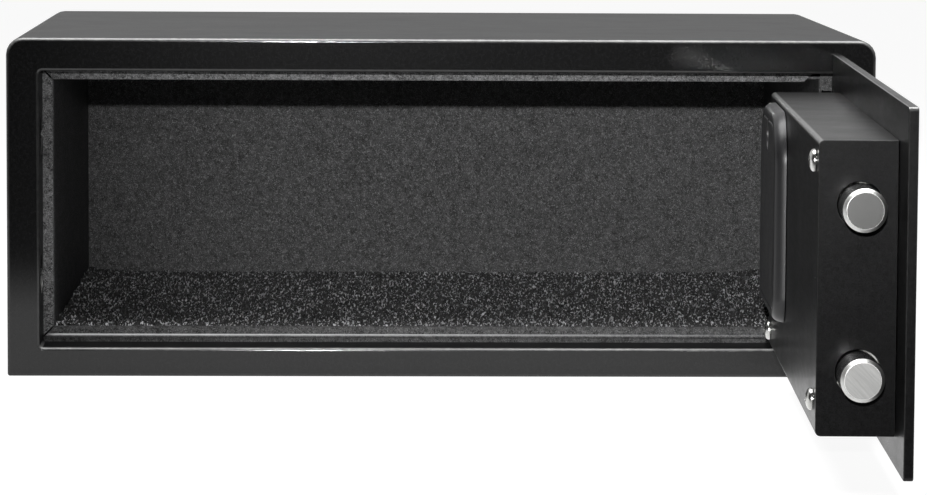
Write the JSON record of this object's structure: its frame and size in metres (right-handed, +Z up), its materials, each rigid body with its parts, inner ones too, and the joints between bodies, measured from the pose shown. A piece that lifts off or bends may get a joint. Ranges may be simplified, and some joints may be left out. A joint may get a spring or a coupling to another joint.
{
  "type": "under desk safe",
  "caption": "Low steel safe with a side hinged door standing open, sliding round bolts, a lined and carpeted cavity, keypad, knob and emergency lock.",
  "frame": {"origin": "middle of the underside of the body", "axes": "+Z up, -Y out of the front with the door, +X towards the hinge side"},
  "size_m": [0.43, 0.7118, 0.168],
  "materials": {
    "powder_coat": "satin black powder coat",
    "liner_coat": "rough textured dark powder coat",
    "felt": "short needled carpet",
    "rubber": "matte",
    "steel": "turned, brushed end faces",
    "zinc": "zinc plated",
    "chrome": "bright plated",
    "plastic": "fine grain",
    "key_plastic": "soft satin",
    "coil": "wound coil in a plated frame",
    "board": "solder mask",
    "cell": "printed sleeve"
  },
  "bodies": {
    "safe_body": {"outer_shell": "powder_coat", "back_panel": "powder_coat", "inner_liner": "liner_coat", "stop_strip_top": "liner_coat", "stop_strip_bottom": "liner_coat", "stop_strip_left": "liner_coat", "stop_strip_right": "liner_coat", "floor_mat": "felt", "anchor_plug_left": "rubber", "anchor_plug_right": "rubber", "hinge_knuckle_lower": "powder_coat", "hinge_knuckle_upper": "powder_coat", "hinge_pin_lower": "steel", "hinge_pin_upper": "steel"},
    "door": {"door_plate": "powder_coat", "lock_box_cover": "powder_coat", "door_knuckle_lower": "powder_coat", "door_knuckle_upper": "powder_coat", "cover_screw_1": "chrome", "cover_screw_2": "chrome", "cover_screw_3": "chrome", "cover_screw_4": "chrome", "bolt_guide": "zinc", "knob_rose": "plastic", "solenoid_body": "coil", "plunger_spring": "steel", "keypad_housing": "plastic", "override_body": "zinc", "circuit_board": "board", "battery_tray": "plastic", "battery_cell_1": "cell", "battery_cell_2": "cell", "battery_cell_3": "cell", "battery_cell_4": "cell"},
    "bolt_work": {"bolt_carrier": "zinc", "bolt_upper": "steel", "bolt_lower": "steel"},
    "knob_set": {"knob": "plastic", "knob_spindle": "zinc"},
    "plunger": {"solenoid_plunger": "steel"},
    "override_plug": {"override_plug": "steel"},
    "override_cap": {"override_cap": "plastic"},
    "lid": {"battery_lid": "plastic", "lid_screw": "chrome"},
    "key_1": {"key_1": "key_plastic"},
    "key_2": {"key_2": "key_plastic"},
    "key_3": {"key_3": "key_plastic"},
    "key_4": {"key_4": "key_plastic"},
    "key_5": {"key_5": "key_plastic"},
    "key_6": {"key_6": "key_plastic"},
    "key_7": {"key_7": "key_plastic"},
    "key_8": {"key_8": "key_plastic"},
    "key_9": {"key_9": "key_plastic"},
    "key_cancel": {"key_cancel": "key_plastic"},
    "key_0": {"key_0": "key_plastic"},
    "key_enter": {"key_enter": "key_plastic"}
  },
  "joints": [
    {"name": "door_swing", "type": "hinge", "parent": "safe_body", "child": "door", "pos_m": [0.1974, -0.159, 0.084], "axis": [0, 0, 1], "range_deg": [-87.74, 87.26]},
    {"name": "knob_turn", "type": "hinge", "parent": "door", "child": "knob_set", "pos_m": [0.18565, -0.45687, 0.08435], "axis": [0.9992, -0.0394, 0], "range_deg": [0, 60]},
    {"name": "bolt_throw", "type": "slide", "parent": "door", "child": "bolt_work", "axis": [-0.0394, -0.9992, 0], "range_m": [0, 0.015]},
    {"name": "plunger_pull", "type": "slide", "parent": "door", "child": "plunger", "axis": [0, 0, 1], "range_m": [-0.008, 0], "stiffness_N_per_m": 300, "springref_m": 0.002, "deforming": ["plunger_spring"]},
    {"name": "override_turn", "type": "hinge", "parent": "door", "child": "override_plug", "pos_m": [0.18801, -0.39692, 0.08435], "axis": [0.9992, -0.0394, 0], "range_deg": [0, 90]},
    {"name": "cap_swing", "type": "hinge", "parent": "door", "child": "override_cap", "pos_m": [0.18771, -0.3969, 0.10185], "axis": [0.9992, -0.0394, 0], "range_deg": [-110, 0]},
    {"name": "lid_lift", "type": "slide", "parent": "door", "child": "lid", "axis": [-0.9992, 0.0394, 0], "range_m": [0, 0.02]},
    {"name": "press_1", "type": "slide", "parent": "door", "child": "key_1", "axis": [-0.9992, 0.0394, 0], "range_m": [0, 0.0012], "stiffness_N_per_m": 400},
    {"name": "press_2", "type": "slide", "parent": "door", "child": "key_2", "axis": [-0.9992, 0.0394, 0], "range_m": [0, 0.0012], "stiffness_N_per_m": 400},
    {"name": "press_3", "type": "slide", "parent": "door", "child": "key_3", "axis": [-0.9992, 0.0394, 0], "range_m": [0, 0.0012], "stiffness_N_per_m": 400},
    {"name": "press_4", "type": "slide", "parent": "door", "child": "key_4", "axis": [-0.9992, 0.0394, 0], "range_m": [0, 0.0012], "stiffness_N_per_m": 400},
    {"name": "press_5", "type": "slide", "parent": "door", "child": "key_5", "axis": [-0.9992, 0.0394, 0], "range_m": [0, 0.0012], "stiffness_N_per_m": 400},
    {"name": "press_6", "type": "slide", "parent": "door", "child": "key_6", "axis": [-0.9992, 0.0394, 0], "range_m": [0, 0.0012], "stiffness_N_per_m": 400},
    {"name": "press_7", "type": "slide", "parent": "door", "child": "key_7", "axis": [-0.9992, 0.0394, 0], "range_m": [0, 0.0012], "stiffness_N_per_m": 400},
    {"name": "press_8", "type": "slide", "parent": "door", "child": "key_8", "axis": [-0.9992, 0.0394, 0], "range_m": [0, 0.0012], "stiffness_N_per_m": 400},
    {"name": "press_9", "type": "slide", "parent": "door", "child": "key_9", "axis": [-0.9992, 0.0394, 0], "range_m": [0, 0.0012], "stiffness_N_per_m": 400},
    {"name": "press_cancel", "type": "slide", "parent": "door", "child": "key_cancel", "axis": [-0.9992, 0.0394, 0], "range_m": [0, 0.0012], "stiffness_N_per_m": 400},
    {"name": "press_0", "type": "slide", "parent": "door", "child": "key_0", "axis": [-0.9992, 0.0394, 0], "range_m": [0, 0.0012], "stiffness_N_per_m": 400},
    {"name": "press_enter", "type": "slide", "parent": "door", "child": "key_enter", "axis": [-0.9992, 0.0394, 0], "range_m": [0, 0.0012], "stiffness_N_per_m": 400}
  ],
  "couplings": [
    {"joint": "knob_turn", "follows": "bolt_throw", "rad_per_m": 69.81}
  ]
}
